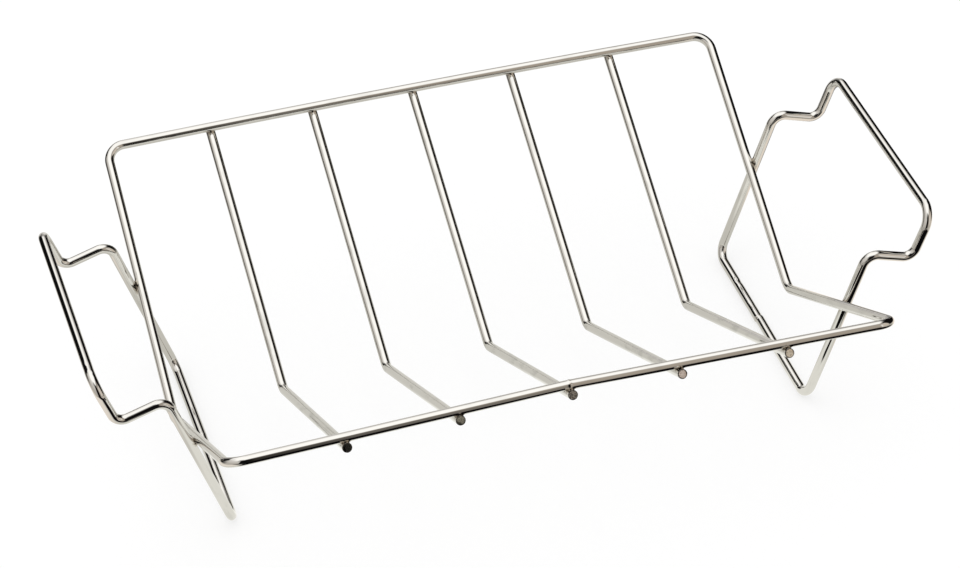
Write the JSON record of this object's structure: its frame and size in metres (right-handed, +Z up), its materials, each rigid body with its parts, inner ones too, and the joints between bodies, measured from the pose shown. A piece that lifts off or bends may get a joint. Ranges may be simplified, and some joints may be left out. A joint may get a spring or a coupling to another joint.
{
  "type": "roasting basket",
  "caption": "V-shaped welded wire roasting rack: a closed rim, bent ribs across the trough, and closed wire stands at the ends that are feet and lifting handles.",
  "frame": {"origin": "on the surface the rack stands on, below the middle of the trough", "axes": "+X along the trough to the right-hand stand, +Y to the back rail, +Z up"},
  "size_m": [0.4296, 0.2706, 0.1088],
  "materials": {
    "rim_wire": "bright plated drawn wire",
    "rib_wire": "bright plated drawn wire, sheared ends",
    "stand_wire": "bright plated drawn wire"
  },
  "bodies": {
    "root": {"rim": "rim_wire", "rib_1": "rib_wire", "rib_2": "rib_wire", "rib_3": "rib_wire", "rib_4": "rib_wire", "rib_5": "rib_wire", "end_stand_left": "stand_wire", "end_stand_right": "stand_wire"}
  },
  "joints": []
}
